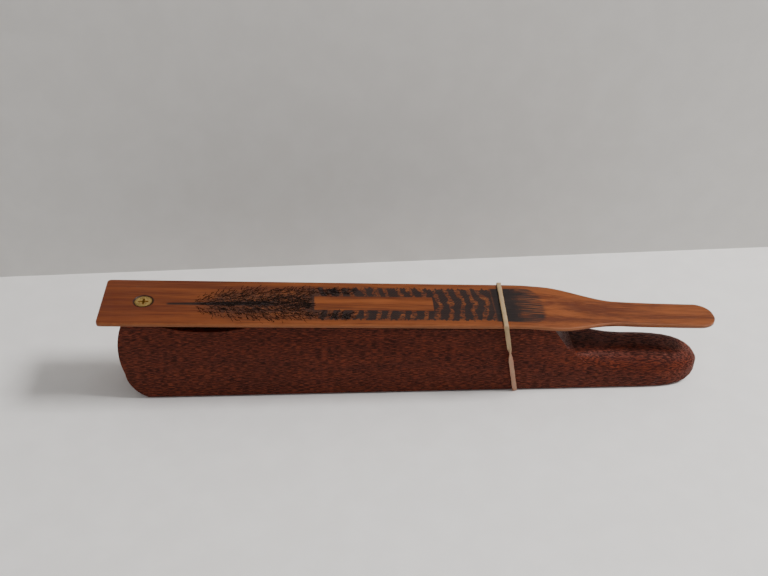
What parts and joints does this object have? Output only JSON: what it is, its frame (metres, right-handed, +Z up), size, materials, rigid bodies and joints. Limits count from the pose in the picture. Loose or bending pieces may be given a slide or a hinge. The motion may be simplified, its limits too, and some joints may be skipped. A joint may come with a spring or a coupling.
{
  "type": "box call",
  "caption": "Long wooden friction box call with a cedar paddle that swings on a countersunk screw, held shut by a rubber band.",
  "frame": {"origin": "on the underside of the box, straight below the pivot screw's axis", "axes": "+X along the box towards the paddle's handle, +Z up out of the paddle's top, +Y completes the right-handed frame"},
  "size_m": [0.3231, 0.04, 0.0531],
  "materials": {
    "box_wood": "satin oiled dark red-brown hardwood with open pores",
    "paddle_cedar": "satin sealed cedar, straight lengthwise grain",
    "screw_brass": "bright turned brass",
    "spring_steel": "drawn wire",
    "washer_brass": "dull pressed brass",
    "band_rubber": "matte natural rubber"
  },
  "bodies": {
    "box": {"side_board_near": "box_wood", "side_board_far": "box_wood", "floor_board": "box_wood", "hinge_block": "box_wood", "grip_block": "box_wood", "lid_spring": "spring_steel", "lower_washer": "washer_brass", "upper_washer": "washer_brass", "rubber_band": "band_rubber"},
    "paddle": {"paddle": "paddle_cedar"},
    "screw": {"pivot_screw": "screw_brass"}
  },
  "joints": [
    {"name": "paddle_swing", "type": "hinge", "parent": "box", "child": "paddle", "pos_m": [0, 0, 0.0464], "axis": [0, 0, 1], "range_deg": [-15, 15], "deforming": ["rubber_band"]},
    {"name": "screw_turn", "type": "hinge", "parent": "box", "child": "screw", "pos_m": [0, 0, 0.0464], "axis": [0, 0, 1], "continuous": true}
  ]
}
